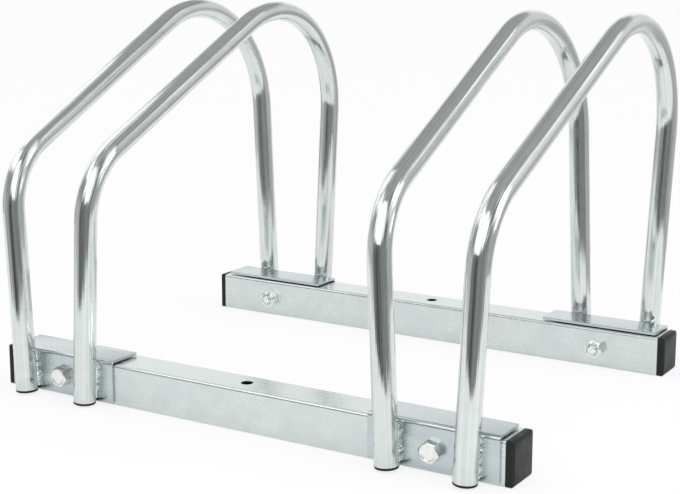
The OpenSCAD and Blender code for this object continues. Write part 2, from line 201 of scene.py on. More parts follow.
def feed(tree, socket, given):
    """Sets a socket to a value, or links another socket to it."""
    if isinstance(given, bpy.types.NodeSocket):
        link(tree, given, socket)
    else:
        socket.default_value = given


def put(tree, kind, inputs=None, **settings):
    """Adds a node, sets its settings, and sets or links its inputs."""
    node = tree.nodes.new(kind)
    for name, value in settings.items():
        setattr(node, name, value)
    for name, value in (inputs or {}).items():
        feed(tree, node.inputs[name], value)
    return node


def maths(tree, operation, *values, clamp=False):
    """The result of a maths node."""
    return put(tree, "ShaderNodeMath", dict(enumerate(values)), operation=operation,
               use_clamp=clamp).outputs[0]


def spread(tree, value, low, high, to_low, to_high, kind="LINEAR"):
    """Maps a value from one range to another."""
    ends = {"Value": value, "From Min": low, "From Max": high, "To Min": to_low, "To Max": to_high}
    return put(tree, "ShaderNodeMapRange", ends, interpolation_type=kind).outputs["Result"]


def smooth(tree, value, low, high):
    """Nought below low, one above high, and a smooth rise between."""
    return spread(tree, value, low, high, 0.0, 1.0, "SMOOTHSTEP")


def blend_colour(tree, factor, first, second):
    """Mixes two colours. The node's inputs 6 and 7 are its two colours."""
    inputs = {0: factor, 6: first, 7: second}
    return put(tree, "ShaderNodeMix", inputs, data_type="RGBA").outputs[2]


def soft_step(tree, value, edge, softness):
    """Nought below an edge, one above it, and a smooth rise twice as wide as the softness."""
    return smooth(tree, value, maths(tree, "SUBTRACT", edge, softness),
                  maths(tree, "ADD", edge, softness))


def rgba(colour_value, tone=1.0):
    """A colour for a socket, its parts multiplied by a tone and held below one."""
    return (*(min(part * tone, 1.0) for part in colour_value), 1.0)


def effect_group(name, inputs):
    """Starts a node group, and returns it with its named inputs and the socket of its mask."""
    group = bpy.data.node_groups.new(name, "ShaderNodeTree")
    for label, value in inputs.items():
        kind = "NodeSocketVector" if value is None else "NodeSocketFloat"
        socket = group.interface.new_socket(name=label, in_out="INPUT", socket_type=kind)
        if value is not None:
            socket.default_value = value
    group.interface.new_socket(name="Mask", in_out="OUTPUT", socket_type="NodeSocketFloat")
    given = group.nodes.new("NodeGroupInput").outputs
    return group, given, group.nodes.new("NodeGroupOutput").inputs["Mask"]


def mask_of(tree, group, **values):
    """The mask of a node group placed in a material, with its inputs set or linked by name."""
    node = put(tree, "ShaderNodeGroup", node_tree=group)
    for name, value in values.items():
        feed(tree, node.inputs[name.replace("_", " ")], value)
    return node.outputs["Mask"]


def metal_rays(tree):
    """The light path node, and a value that is one for the rays that metal and glass send."""
    rays = put(tree, "ShaderNodeLightPath")
    return rays, maths(tree, "MAXIMUM", rays.outputs["Is Glossy Ray"],
                       rays.outputs["Is Transmission Ray"])


# Shared effects

def plating_clouds():
    """Group: the soft mottling of zinc plate, large clouds with small flecks in them."""
    name = "plating clouds"
    if name in bpy.data.node_groups:
        return bpy.data.node_groups[name]
    group, given, mask = effect_group(name, {
        "Place": None, "Cloud Size": 0.02, "Fleck Size": 0.003, "Fleck Amount": 0.3})
    cloud_scale = maths(group, "DIVIDE", 1.0, given["Cloud Size"])
    cloud = put(group, "ShaderNodeTexNoise", {
        "Vector": given["Place"], "Scale": cloud_scale, "Detail": 5.0, "Roughness": 0.6})
    fleck_scale = maths(group, "DIVIDE", 1.0, given["Fleck Size"])
    fleck = put(group, "ShaderNodeTexNoise", {
        "Vector": given["Place"], "Scale": fleck_scale, "Detail": 3.0, "Roughness": 0.7})
    soft = smooth(group, cloud.outputs[0], 0.34, 0.68)
    fine = maths(group, "SUBTRACT", fleck.outputs[0], 0.5)
    fine = maths(group, "MULTIPLY", fine, given["Fleck Amount"])
    link(group, maths(group, "ADD", soft, fine, clamp=True), mask)
    return group


def drawn_streaks():
    """Group: fine lines that run one way over the metal, along Z of the place given."""
    name = "drawn streaks"
    if name in bpy.data.node_groups:
        return bpy.data.node_groups[name]
    group, given, mask = effect_group(name, {
        "Place": None, "Line Width": 0.001, "Line Length": 0.1, "Softness": 0.2})
    across = maths(group, "DIVIDE", 1.0, given["Line Width"])
    along = maths(group, "DIVIDE", 1.0, given["Line Length"])
    scale = put(group, "ShaderNodeCombineXYZ", {0: across, 1: across, 2: along})
    place = put(group, "ShaderNodeVectorMath", {0: given["Place"], 1: scale.outputs[0]},
                operation="MULTIPLY")
    lines = put(group, "ShaderNodeTexNoise", {
        "Vector": place.outputs[0], "Scale": 1.0, "Detail": 4.0, "Roughness": 0.65})
    link(group, soft_step(group, lines.outputs[0], 0.5, given["Softness"]), mask)
    return group


# Materials

def new_material(name):
    """A node material with a Principled shader, and its tree and shader."""
    material = bpy.data.materials.new(name)
    material.use_nodes = True
    tree = material.node_tree
    shader = tree.nodes["Principled BSDF"]
    return material, tree, shader


def object_place(tree):
    """The place of a point in the rack's frame."""
    return put(tree, "ShaderNodeTexCoord").outputs["Object"]


# The broad waves beside the streaks, and the warm patches, as multiples of the zinc's own sizes
WAVE_WIDTH = 4
WAVE_LENGTH = 2
PATCH_CLOUD = 2.7
PATCH_FLECK = 3


def zinc(name, base, warm, streak_place, streaks, clouds, lines, tones, roughness, heights, tint):
    """Zinc plate: clouds and streaks move its colour, gloss and surface a little.

    streaks are (width, length, softness) and clouds (cloud, fleck), in metres but for the
    softness. lines is the share of the streaks in the colour, tones the darkest and palest
    share of the base colour, roughness its lowest and highest value, heights those of the
    streaks, of the broad waves beside them and of the clouds, and tint the share of the warm
    patches.
    """
    material, tree, shader = new_material(name)
    place = object_place(tree)
    cloud = mask_of(tree, plating_clouds(), Place=place, Cloud_Size=clouds[0],
                    Fleck_Size=clouds[1], Fleck_Amount=0.5)
    line_place = streak_place(tree, place)
    line = mask_of(tree, drawn_streaks(), Place=line_place, Line_Width=streaks[0],
                   Line_Length=streaks[1], Softness=streaks[2])
    wave = mask_of(tree, drawn_streaks(), Place=line_place, Line_Width=streaks[0] * WAVE_WIDTH,
                   Line_Length=streaks[1] * WAVE_LENGTH, Softness=0.25)
    both = maths(tree, "ADD", maths(tree, "MULTIPLY", cloud, 1 - lines),
                 maths(tree, "MULTIPLY", line, lines))
    plain = blend_colour(tree, both, rgba(base, tones[0]), rgba(base, tones[1]))
    patch = mask_of(tree, plating_clouds(), Place=place, Cloud_Size=clouds[0] * PATCH_CLOUD,
                    Fleck_Size=clouds[1] * PATCH_FLECK, Fleck_Amount=0.2)
    warmth = maths(tree, "MULTIPLY", patch, tint)
    link(tree, blend_colour(tree, warmth, plain, rgba(warm)), shader.inputs["Base Color"])
    link(tree, spread(tree, both, 0.1, 0.9, *roughness), shader.inputs["Roughness"])
    shader.inputs["Metallic"].default_value = 1.0
    height = maths(tree, "MULTIPLY", line, heights[0])
    height = maths(tree, "ADD", height, maths(tree, "MULTIPLY", wave, heights[1]))
    height = maths(tree, "ADD", height, maths(tree, "MULTIPLY", cloud, heights[2]))
    bump = put(tree, "ShaderNodeBump", {"Height": height, "Distance": 1.0, "Strength": 1.0})
    link(tree, bump.outputs["Normal"], shader.inputs["Normal"])
    return material


def along_rail(tree, place):
    """Turns the axes of the place, so that the streaks run along the rails."""
    return put(tree, "ShaderNodeMapping",
               {"Vector": place, "Rotation": (0.0, math.pi / 2, 0.0)}).outputs[0]


def along_tube(tree, place):
    """Streaks along the bent tube: the mesh holds each point's place round and along it."""
    return put(tree, "ShaderNodeAttribute", attribute_name="tube_place").outputs["Vector"]


def upright(tree, place):
    """Leaves the place as it is, so that the streaks run up and down."""
    return place


def black_plastic(name, base):
    """Moulded black plastic with a fine grain and faint scuffs."""
    material, tree, shader = new_material(name)
    place = object_place(tree)
    scuff = mask_of(tree, plating_clouds(), Place=place, Cloud_Size=0.012, Fleck_Size=0.0012,
                    Fleck_Amount=0.6)
    link(tree, blend_colour(tree, scuff, rgba(base), rgba(base, 1.5)), shader.inputs["Base Color"])
    link(tree, spread(tree, scuff, 0.0, 1.0, 0.38, 0.52), shader.inputs["Roughness"])
    shader.inputs["Specular IOR Level"].default_value = 0.25
    grain = put(tree, "ShaderNodeTexNoise", {"Vector": place, "Scale": 2600.0, "Detail": 2.0})
    height = put(tree, "ShaderNodeBump",
                 {"Height": grain.outputs[0], "Distance": 0.00004, "Strength": 0.6})
    link(tree, height.outputs["Normal"], shader.inputs["Normal"])
    return material


def nylon_painted_shade_material(name, base):
    """Nylon with faint clouds. Its colour is partly the nylon's own and partly painted shade: it is
    darkened to stand in for the shade in the nut's recess.
    """
    material, tree, shader = new_material(name)
    place = object_place(tree)
    cloud = mask_of(tree, plating_clouds(), Place=place, Cloud_Size=0.004, Fleck_Size=0.0006,
                    Fleck_Amount=0.3)
    link(tree, blend_colour(tree, cloud, rgba(base, 0.9), rgba(base)), shader.inputs["Base Color"])
    shader.inputs["Roughness"].default_value = 0.4
    return material


# The zinc finishes: the colour, the way of the streaks, and the values that zinc() takes
ZINCS = {
    "rail zinc": ("rail", along_rail, dict(
        streaks=(0.0014, 0.06, 0.2), clouds=(0.016, 0.0016), lines=0.4, tones=(0.93, 1.07),
        roughness=(0.20, 0.30), heights=(0.000006, 0.00001, 0.000005), tint=0.05)),
    "bracket zinc": ("bracket", along_rail, dict(
        streaks=(0.0012, 0.02, 0.2), clouds=(0.012, 0.0014), lines=0.3, tones=(0.92, 1.08),
        roughness=(0.20, 0.30), heights=(0.000005, 0.00001, 0.000005), tint=0.03)),
    "hoop zinc": ("hoop", along_tube, dict(
        streaks=(0.0015, 0.6, 0.16), clouds=(0.010, 0.0012), lines=0.75, tones=(0.85, 1.07),
        roughness=(0.05, 0.11), heights=(0.00004, 0.00022, 0.000002), tint=0.14)),
    "bolt zinc": ("fastener", upright, dict(
        streaks=(0.0008, 0.002, 0.2), clouds=(0.003, 0.0008), lines=0.4, tones=(0.92, 1.08),
        roughness=(0.12, 0.26), heights=(0.000008, 0.00002, 0.00002), tint=0.04)),
    "weld zinc": ("weld", upright, dict(
        streaks=(0.0009, 0.0012, 0.2), clouds=(0.003, 0.0007), lines=0.4, tones=(0.90, 1.08),
        roughness=(0.05, 0.12), heights=(0.000004, 0.00001, 0.00001), tint=0.10)),
}


def finish(name):
    """One of the rack's materials, made once."""
    if name in bpy.data.materials:
        return bpy.data.materials[name]
    tone = bpy.context.scene.rack_finishes
    if name in ZINCS:
        base, streak_place, values = ZINCS[name]
        return zinc(name, getattr(tone, base), tone.warm, streak_place, **values)
    if name == "black plastic":
        return black_plastic(name, tone.plastic)
    # The nylon finish, whose dark colour is partly painted shade of the nut's recess.
    return nylon_painted_shade_material(name, tone.nylon)


# Mesh helpers

# Points nearer than this are merged, and faces flatter than this joined
MERGE_WITHIN = 1e-6
FLAT_WITHIN = math.radians(0.5)


def add_object(name, data):
    """Links a new object to the scene."""
    made = bpy.data.objects.new(name, data)
    bpy.context.scene.collection.objects.link(made)
    return made


def keep_piece(node, form, mesh, material, crease=35):
    """Keeps a mesh as the piece that stands for a node, with its finish, riding on the body."""
    mesh.shade_smooth()
    mesh.set_sharp_from_angle(angle=math.radians(crease))
    piece = add_object(f"{node}_{form}", mesh)
    mesh.materials.clear()
    mesh.materials.append(finish(material))
    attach(piece, BODY)
    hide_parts(node)


def finish_node(node, material):
    """Gives a solid of the frame its finish."""
    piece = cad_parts[node]
    for slot in piece.material_slots:
        slot.material = finish(material)
    if not piece.material_slots:
        piece.data.materials.append(finish(material))


def loft(rings, closed_ends=True):
    """A mesh through rings of points, each with as many points as the others."""
    count = len(rings[0])
    points = [point for ring in rings for point in ring]
    faces = []
    for i in range(len(rings) - 1):
        a, b = i * count, (i + 1) * count
        for j in range(count):
            k = (j + 1) % count
            faces.append((a + j, a + k, b + k, b + j))
    if closed_ends:
        faces.append(tuple(reversed(range(count))))
        faces.append(tuple(range(len(points) - count, len(points))))
    mesh = bpy.data.meshes.new("loft")
    mesh.from_pydata(points, [], faces)
    return mesh


def merged(mesh, gap):
    """A bmesh of a mesh, with the points that lie nearer than a gap merged."""
    cut = bmesh.new()
    cut.from_mesh(mesh)
    bmesh.ops.remove_doubles(cut, verts=cut.verts, dist=gap)
    return cut


def written(cut, mesh):
    """The mesh, with what a bmesh holds. The bmesh is freed."""
    cut.to_mesh(mesh)
    cut.free()
    return mesh


def tidy_mesh(mesh):
    """Merges doubled points and turns the faces outwards."""
    cut = merged(mesh, MERGE_WITHIN / 10)
    bmesh.ops.recalc_face_normals(cut, faces=cut.faces)
    return written(cut, mesh)


def settled(piece):
    """The mesh of a piece after its modifiers. The piece itself is removed."""
    graph = bpy.context.evaluated_depsgraph_get()
    mesh = bpy.data.meshes.new_from_object(piece.evaluated_get(graph))
    bpy.data.objects.remove(piece)
    return mesh


def softened_node(node, width, crease=32):
    """A copy of a solid of the frame, with its hard edges broken by a small round."""
    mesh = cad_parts[node].data.copy()
    cut = merged(mesh, MERGE_WITHIN)
    bmesh.ops.dissolve_limit(cut, angle_limit=FLAT_WITHIN, verts=cut.verts,
                             edges=cut.edges, use_dissolve_boundaries=False)
    piece = add_object("softened", written(cut, mesh))
    bevel = piece.modifiers.new("edges", "BEVEL")
    bevel.width = width
    bevel.segments = 3
    bevel.limit_method = "ANGLE"
    bevel.angle_limit = math.radians(crease)
    return settled(piece)


# Places, worked out from the frame

def slot_place(side):
    """The middle of a wheel slot along the rails."""
    low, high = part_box(f"bracket_front_{side}")
    return (low[0] + high[0]) / 2


def bracket_face():
    """Distance from the rack's middle to the outer face of a bracket."""
    return -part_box("bracket_front_left")[0][1]


def hoop_matrix(side, place):
    """Takes a hoop's own plane to its place, leaning away from the wheel slot."""
    sizes = bpy.context.scene.rack_hoops
    across = slot_place(side) + SIDES[side] * PLACES[place] * sizes.leg_spacing / 2
    lean = SIDES[side] * PLACES[place] * sizes.splay
    return (Matrix.Translation((across, 0, sizes.leg_lift))
            @ Matrix.Rotation(lean, 4, "Y"))


def bolt_matrix(end, side):
    """Takes a bolt's own frame, with its shank along +Z from its head, to its place."""
    low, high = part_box(f"rail_{end}")
    height = (low[2] + high[2]) / 2
    away = ENDS[end] * bracket_face()
    return (Matrix.Translation((slot_place(side), away, height))
            @ Matrix.Rotation(math.pi / 2 * ENDS[end], 4, "X"))


# Hoops

# Points round the tube, the share of a bend in which its flattening grows, and how far the
# streaks are shifted from side to side and from hoop to hoop
TUBE_SIDES = 64
EASE_SHARE = 0.25
SIDE_SHIFT = 3.0
PLACE_SHIFT = 1.7


def hoop_path(sizes, leg_y):
    """The hoop's centre line: (length so far, y, z, heading, bend) from front leg to rear leg.

    The heading is nought straight up and grows towards +Y. The bend is one inside a bend.
    """
    front_turn = math.pi / 2 - sizes.run_angle
    top_turn = math.pi / 2 + sizes.run_angle
    front_tangent = sizes.front_bend_r * math.tan(front_turn / 2)
    top_tangent = sizes.top_bend_r * math.tan(top_turn / 2)
    rear_height = sizes.corner_height + 2 * leg_y * math.tan(sizes.run_angle)
    stretches = [
        (sizes.corner_height - sizes.plug_rim - front_tangent, None),
        (front_turn, sizes.front_bend_r),
        (2 * leg_y / math.cos(sizes.run_angle) - front_tangent - top_tangent, None),
        (top_turn, sizes.top_bend_r),
        (rear_height - sizes.plug_rim - top_tangent, None),
    ]
    y, z, heading, done = -leg_y, sizes.plug_rim, 0.0, 0.0
    path = [(done, y, z, heading, 0.0)]
    for amount, radius in stretches:
        run = amount * radius if radius else amount
        steps = max(2, round(run / sizes.ring_step))
        y0, z0, turned, before = y, z, heading, done
        for i in range(1, steps + 1):
            gone = i / steps
            done = before + gone * run
            if radius:
                heading = turned + gone * amount
                y = y0 + radius * (math.cos(turned) - math.cos(heading))
                z = z0 + radius * (math.sin(heading) - math.sin(turned))
                bent = min(EASE_SHARE, gone, 1 - gone) / EASE_SHARE
            else:
                y = y0 + gone * run * math.sin(turned)
                z = z0 + gone * run * math.cos(turned)
                bent = 0.0
            path.append((done, y, z, heading, bent))
    return path


def tube_ring(step, radius, flatten):
    """One ring of points round the tube, with each point's place round and along it."""
    done, y, z, heading, bent = step
    out_y, out_z = -math.cos(heading), math.sin(heading)
    inward = radius * (1 - flatten * bent)
    ring = []
    for j in range(TUBE_SIDES):
        turn = TURN * j / TUBE_SIDES
        side, out = radius * math.cos(turn), inward * math.sin(turn)
        ring.append(((side, y + out * out_y, z + out * out_z),
                     (side, radius * math.sin(turn), done)))
    return ring


def hoop_mesh(sizes, shift):
    """A hoop bent from round tube, with its bore and its bevelled cut ends."""
    radius = sizes.tube_d / 2
    bore = radius - sizes.tube_wall
    path = hoop_path(sizes, bracket_face() + radius)
    first, last = path[0], path[-1]
    bevel = sizes.end_bevel
    inner_first = (bevel, first[1], first[2] + bevel, first[3], 0.0)
    inner_last = (last[0] - bevel, last[1], last[2] + bevel, last[3], 0.0)
    outer = [(first, radius - bevel), (inner_first, radius)]
    outer += [(step, radius) for step in path[1:-1]]
    outer += [(inner_last, radius), (last, radius - bevel)]
    inner = [(step, bore) for step in reversed(path)]
    rings = [tube_ring(step, r, sizes.flatten) for step, r in outer + inner]
    rings.append(rings[0])
    mesh = loft([[point for point, _ in ring] for ring in rings], closed_ends=False)
    places = mesh.attributes.new("tube_place", "FLOAT_VECTOR", "POINT")
    flat = []
    for ring in rings:
        for _, (round_x, round_y, along) in ring:
            flat += [round_x, round_y, along + shift]
    places.data.foreach_set("vector", flat)
    return mesh


class RACK_OT_hoops(bpy.types.Operator):
    """Bends the four hoops from round tube"""
    bl_idname = "rack.hoops"
    bl_label = "Hoops"

    def execute(self, context):
        sizes = context.scene.rack_hoops
        for i, side in enumerate(SIDES):
            for j, place in enumerate(PLACES):
                mesh = tidy_mesh(hoop_mesh(sizes, SIDE_SHIFT * i + PLACE_SHIFT * j))
                mesh.transform(hoop_matrix(side, place))
                keep_piece(f"hoop_{side}_{place}", "tube", mesh, "hoop zinc")
        return {"FINISHED"}


# Rails, brackets, caps and plugs

class RACK_OT_rails(bpy.types.Operator):
    """Finishes the two square rails"""
    bl_idname = "rack.rails"
    bl_label = "Rails"

    def execute(self, context):
        for end in ENDS:
            finish_node(f"rail_{end}", "rail zinc")
        return {"FINISHED"}


class RACK_OT_brackets(bpy.types.Operator):
    """Breaks the edges of the four formed brackets and finishes them"""
    bl_idname = "rack.brackets"
    bl_label = "Brackets"

    def execute(self, context):
        sizes = context.scene.rack_edges
        for end, side in product(ENDS, SIDES):
            node = f"bracket_{end}_{side}"
            keep_piece(node, "sheet", softened_node(node, sizes.sheet_round), "bracket zinc")
        return {"FINISHED"}


class RACK_OT_caps(bpy.types.Operator):
    """Rounds the edges of the four rail caps and finishes them"""
    bl_idname = "rack.caps"
    bl_label = "Rail caps"

    def execute(self, context):
        sizes = context.scene.rack_edges
        for end, side in product(ENDS, SIDES):
            node = f"rail_cap_{end}_{side}"
            mesh = softened_node(node, sizes.cap_round, crease=20)
            keep_piece(node, "moulding", mesh, "black plastic")
        return {"FINISHED"}


class RACK_OT_plugs(bpy.types.Operator):
    """Finishes the eight leg plugs"""
    bl_idname = "rack.plugs"
    bl_label = "Leg plugs"

    def execute(self, context):
        for side, place, end in product(SIDES, PLACES, ENDS):
            finish_node(f"plug_{side}_{place}_{end}", "black plastic")
        return {"FINISHED"}


# Bolts and nuts

# Points round a bolt or nut, rings along one turn of a thread and rings round a rolled rim
FASTENER_SIDES = 96
TURN_RINGS = 12
RIM_STEPS = 6
# How round the thread's groove is, and the share of its depth that is left at the bolt's end
GROOVE_POWER = 1.3
END_DEPTH = 0.4
# The dish in a bolt's head: its middle, its flat and its rim, as shares of the top circle
DISH_SHARES = (0.12, 0.78, 0.86)
# The bolt's tip: by how many thread depths it narrows, at each distance from its end
BOLT_TIP = ((1.2, 0.0009), (2.0, 0.0001), (2.2, 0.0))
# Turn of each bolt's head and nut, and the angle that stays a sharp edge, in degrees
HEAD_TURNS = {("front", "left"): 6, ("front", "right"): 10, ("rear", "left"): 27,
              ("rear", "right"): 46}
BOLT_CREASE = 24


def circle(radius, z, count=FASTENER_SIDES):
    """A ring of points round Z."""
    return [(radius * math.cos(TURN * j / count), radius * math.sin(TURN * j / count), z)
            for j in range(count)]


def circles(*pairs):
    """Rings of points round Z, each given by its radius and height."""
    return [circle(radius, z) for radius, z in pairs]


def hexagon(sizes, z_of, turn, inset=0.0):
    """A ring of points round a hexagon. z_of gives the height from the distance to the middle."""
    ring = []
    side = TURN / 6
    for j in range(FASTENER_SIDES):
        at = TURN * j / FASTENER_SIDES
        off = (at - turn) % side - side / 2
        radius = (sizes.spanner / 2 - inset) / math.cos(off)
        ring.append((radius * math.cos(at), radius * math.sin(at), z_of(radius)))
    return ring


def chamfered(sizes, height, sign):
    """Height of a hexagon's side wall, cut down by the round chamfer at its corners."""
    top_r = sizes.spanner / 2 * sizes.top_share
    slope = math.tan(sizes.chamfer)
    return lambda radius: sign * (height - max(0.0, radius - top_r) * slope)


def thread_rings(sizes, start, end):
    """Rings along a bolt's thread, whose groove winds round it and grows shallow at its end."""
    steps = round((end - start) / sizes.thread_pitch * TURN_RINGS)
    rings = []
    for i in range(steps + 1):
        z = start + (end - start) * i / steps
        fade = min(1.0, (end - z) / sizes.thread_pitch)
        ring = []
        for j in range(FASTENER_SIDES):
            phase = (z / sizes.thread_pitch - j / FASTENER_SIDES) % 1.0
            depth = sizes.thread_depth * (1 - abs(2 * phase - 1) ** GROOVE_POWER)
            radius = sizes.bolt_d / 2 - depth * (END_DEPTH + (1 - END_DEPTH) * fade)
            at = TURN * j / FASTENER_SIDES
            ring.append((radius * math.cos(at), radius * math.sin(at), z))
        rings.append(ring)
    return rings


def bolt_mesh(sizes, length_under, turn):
    """Hexagon bolt: chamfered and dished head below zero, threaded shank above."""
    top_r = sizes.spanner / 2 * sizes.top_share
    head = sizes.head_height
    shank_r = sizes.bolt_d / 2
    middle, flat, rim = [top_r * part for part in DISH_SHARES]
    thread_start = length_under - sizes.thread_length
    rings = circles((middle, sizes.head_dish - head), (flat, sizes.head_dish - head),
                    (rim, -head), (top_r, -head))
    rings += [
        hexagon(sizes, chamfered(sizes, head, -1), turn),
        hexagon(sizes, lambda radius: -sizes.bevel_h, turn),
        hexagon(sizes, lambda radius: 0.0, turn, inset=sizes.bevel_w),
    ]
    rings += circles((shank_r, 0.0), (shank_r, thread_start))
    rings += thread_rings(sizes, thread_start, length_under - 2 * sizes.thread_depth)
    rings += circles(*((shank_r - depths * sizes.thread_depth, length_under - back)
                       for depths, back in BOLT_TIP))
    return tidy_mesh(loft(rings))


def nut_mesh(sizes, turn):
    """Lock nut on its bearing face: chamfered hexagon, rolled collar and ring recess."""
    foot = chamfered(sizes, 0.0, 1)
    collar = sizes.collar_d / 2
    rim = sizes.collar_rim
    fillet = sizes.collar_fillet
    bore = sizes.bolt_d / 2 + sizes.thread_gap
    recess = collar - sizes.collar_wall
    lip_under = sizes.nut_height - sizes.lip_height
    seat = lip_under - sizes.ring_height
    rings = circles((bore, 0.0), (sizes.spanner / 2 * sizes.top_share, 0.0))
    rings += [
        hexagon(sizes, lambda radius: -foot(radius), turn),
        hexagon(sizes, chamfered(sizes, sizes.nut_hex, 1), turn),
    ]
    rings += circles((collar + fillet, sizes.nut_hex - fillet / 4),
                     (collar, sizes.nut_hex + 3 * fillet / 4), (collar, sizes.nut_height - rim))
    for i in range(1, RIM_STEPS + 1):
        roll = math.pi / 2 * i / RIM_STEPS
        rings.append(circle(collar - rim * (1 - math.cos(roll)),
                            sizes.nut_height - rim * (1 - math.sin(roll))))
    lip = sizes.lip_d / 2
    rings += circles((lip, sizes.nut_height - sizes.lip_fall), (lip, lip_under),
                     (recess, lip_under), (recess, seat), (bore, seat), (bore, 0.0))
    return tidy_mesh(loft(rings, closed_ends=False))


def nylon_mesh(sizes):
    """Nylon ring in its recess. Its inner edge is drawn down by the thread."""
    bore = sizes.bolt_d / 2 + sizes.thread_gap
    outer = sizes.collar_d / 2 - sizes.collar_wall - sizes.ring_gap
    seat = sizes.nut_height - sizes.lip_height - sizes.ring_height
    top = seat + sizes.ring_height - sizes.ring_gap
    middle = (outer + bore) / 2
    soft, drawn = sizes.ring_round, sizes.drawn_edge
    rings = circles((bore, seat), (outer, seat), (outer, top), (middle + soft, top),
                    (middle - soft, top - soft), (bore + soft / 2, top - drawn + 2 * soft),
                    (bore, top - drawn), (bore, seat))
    return tidy_mesh(loft(rings, closed_ends=False))


def clamped(end):
    """Distance from under a bolt's head to its nut, through bracket and rail."""
    low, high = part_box(f"rail_{end}")
    return abs(bracket_face() * ENDS[end] - (low[1] if end == "rear" else high[1]))


class RACK_OT_bolts(bpy.types.Operator):
    """Makes the four hexagon bolts with their threads"""
    bl_idname = "rack.bolts"
    bl_label = "Bolts"

    def execute(self, context):
        sizes = context.scene.rack_fasteners
        for (end, side), turn in HEAD_TURNS.items():
            under = clamped(end) + sizes.nut_height + sizes.bolt_end
            mesh = bolt_mesh(sizes, under, math.radians(turn))
            mesh.transform(bolt_matrix(end, side))
            keep_piece(f"bolt_{end}_{side}", "threaded", mesh, "bolt zinc", BOLT_CREASE)
        return {"FINISHED"}


class RACK_OT_nuts(bpy.types.Operator):
    """Makes the four lock nuts with their nylon rings"""
    bl_idname = "rack.nuts"
    bl_label = "Lock nuts"

    def execute(self, context):
        sizes = context.scene.rack_fasteners
        for (end, side), turn in HEAD_TURNS.items():
            place = bolt_matrix(end, side) @ Matrix.Translation((0, 0, clamped(end)))
            nut = nut_mesh(sizes, math.radians(turn))
            nut.transform(place)
            keep_piece(f"nut_{end}_{side}", "collared", nut, "bolt zinc", BOLT_CREASE)
            ring = nylon_mesh(sizes)
            ring.transform(place)
            # The nylon ring's dark finish is partly painted shade of the nut's recess.
            keep_piece(f"nylon_ring_{end}_{side}", "cut", ring, "nylon", BOLT_CREASE)
        return {"FINISHED"}


# Welds

# Lumps and steps of a bead, as shares of its radius and pitch, and how far a lump strays
SMALLEST_LUMP = 0.45
LUMP_RANGE = 0.75
LUMP_RARITY = 2.5
STEP_SHARES = (0.25, 0.6)
STRAY = 0.0004
# A bead's tail onto the tube: its start from the bead's end, its step, and its lumps' shares
TAIL_START = Vector((-0.0012, -0.0004, 0.0011))
TAIL_STEP = Vector((-0.0009, -0.0001, 0.0005))
TAIL_SHARES = (0.6, 0.52, 0.44, 0.36)
# Room above the last lump in bead radii, ripples, and the angle that stays a sharp edge
TOP_ROOM = 1.8
RIPPLES_PER_METRE = 330
WELD_CREASE = 80
WELD_SEED = 27


def bead_mesh(sizes, tube_r, foot, top, hand, dice):
    """One weld bead beside a leg: uneven lumps melted together, with a tail onto the tube."""
    reach = math.sqrt((tube_r + sizes.proud) ** 2 - (tube_r - sizes.stand) ** 2)
    melt = bmesh.new()

    def lump(place, radius):
        made = bmesh.ops.create_icosphere(melt, subdivisions=2, radius=radius)
        bmesh.ops.translate(melt, verts=made["verts"], vec=place)

    height = foot
    while height < top:
        lump((hand * (reach + dice.uniform(-STRAY, STRAY)),
              tube_r - sizes.stand + dice.uniform(-STRAY, STRAY / 2), height),
             sizes.bead_r * (SMALLEST_LUMP + LUMP_RANGE * dice.random() ** LUMP_RARITY))
        height += sizes.pitch * dice.uniform(*STEP_SHARES)
    for i, part in enumerate(TAIL_SHARES):
        across, out, up = TAIL_START + i * TAIL_STEP
        lump((hand * (reach + across), tube_r + out, top + up), sizes.bead_r * part)
    piece = add_object("bead", written(melt, bpy.data.meshes.new("bead")))
    cells = piece.modifiers.new("cells", "REMESH")
    cells.mode = "VOXEL"
    cells.voxel_size = sizes.grain
    melted = piece.modifiers.new("melted", "SMOOTH")
    melted.factor = 0.5
    melted.iterations = 4
    mesh = settled(piece)
    for vertex in mesh.vertices:
        ripple = noise.noise(vertex.co * RIPPLES_PER_METRE + Vector((hand * 5, 0, 0)))
        vertex.co += vertex.normal * ripple * sizes.roughen
    return mesh


class RACK_OT_welds(bpy.types.Operator):
    """Lays the weld beads beside the eight legs"""
    bl_idname = "rack.welds"
    bl_label = "Weld beads"

    def execute(self, context):
        sizes = context.scene.rack_welds
        hoops = context.scene.rack_hoops
        tube_r = hoops.tube_d / 2
        leg_y = bracket_face() + tube_r
        _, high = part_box("bracket_front_left")
        foot = hoops.plug_rim + sizes.bead_r
        top = high[2] - hoops.leg_lift - TOP_ROOM * sizes.bead_r
        dice = random.Random(WELD_SEED)
        for end, side in product(ENDS, SIDES):
            beads = bmesh.new()
            for place, hand in product(PLACES, HANDS):
                mesh = bead_mesh(sizes, tube_r, foot, top, hand, dice)
                if end == "rear":
                    mesh.transform(Matrix.Scale(-1, 4, (0, 1, 0)))
                    mesh.flip_normals()
                mesh.transform(hoop_matrix(side, place)
                               @ Matrix.Translation((0, ENDS[end] * leg_y, 0)))
                beads.from_mesh(mesh)
                bpy.data.meshes.remove(mesh)
            whole = written(beads, bpy.data.meshes.new("beads"))
            keep_piece(f"weld_{end}_{side}", "beads", whole, "weld zinc", WELD_CREASE)
        return {"FINISHED"}


# Stage

# Where the lamps stand, and the place that they point at
SOFTBOX_PLACE = (0.45, -1.15, 1.0)
SIDE_PLACE = (1.25, 0.3, 0.55)
LAMP_AIM = (0, 0, 0.12)
# The floor's darkest and palest tone, and how much of plain white the camera and metal see in it
FLOOR_TONES = (0.93, 0.95)
CAMERA_WHITE = 0.8
METAL_WHITE = 0.3
# Corners of the round floor, and of a panel of the room
FLOOR_SIDES = 128
PANEL_SIDES = 64


